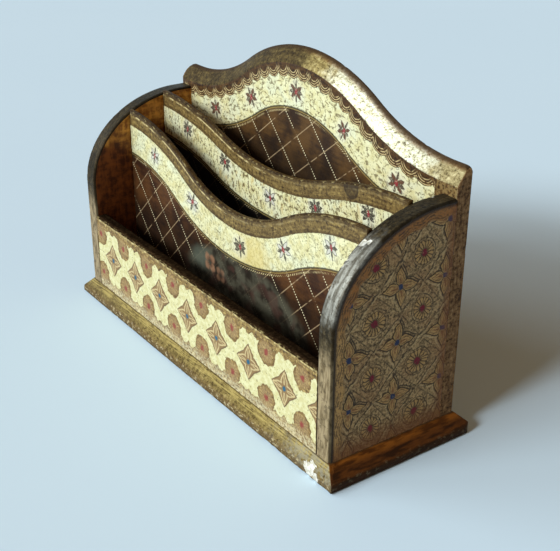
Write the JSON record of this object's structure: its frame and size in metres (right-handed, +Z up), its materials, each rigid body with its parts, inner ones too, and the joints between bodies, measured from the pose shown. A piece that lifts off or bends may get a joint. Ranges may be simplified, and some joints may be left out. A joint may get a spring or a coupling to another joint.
{
  "type": "letter holder",
  "caption": "Free-standing desk letter holder: gilded wooden boards on a bevelled base, with arched ends, a crested back and wavy dividers that make pockets for envelopes.",
  "frame": {"origin": "middle of the underside of the base board, on the surface that the holder stands on", "axes": "+X to the right across the width, seen from the front; +Y from the front panel to the back panel; +Z up"},
  "size_m": [0.259, 0.0904, 0.1713],
  "materials": {
    "gilt_base": "worn gilt over red-brown ground, varnished",
    "tooled_end": "tooled gilt with painted flowers, aged varnish",
    "cream_front": "cream paint with tooled gilt ornament, crackled varnish",
    "cream_back": "cream and dark brown paint with tooled gilt border, crackled varnish",
    "cream_divider": "cream and dark brown paint with gilt edge, crackled varnish",
    "brad_steel": "drawn wire, dull"
  },
  "bodies": {
    "root": {"base_board": "gilt_base", "left_end_panel": "tooled_end", "right_end_panel": "tooled_end", "front_panel": "cream_front", "back_panel": "cream_back", "front_divider": "cream_divider", "rear_divider": "cream_divider", "left_base_brads": "brad_steel", "right_base_brads": "brad_steel", "front_base_brads": "brad_steel", "back_base_brads": "brad_steel", "left_front_brads": "brad_steel", "right_front_brads": "brad_steel", "left_back_brads": "brad_steel", "right_back_brads": "brad_steel"}
  },
  "joints": []
}
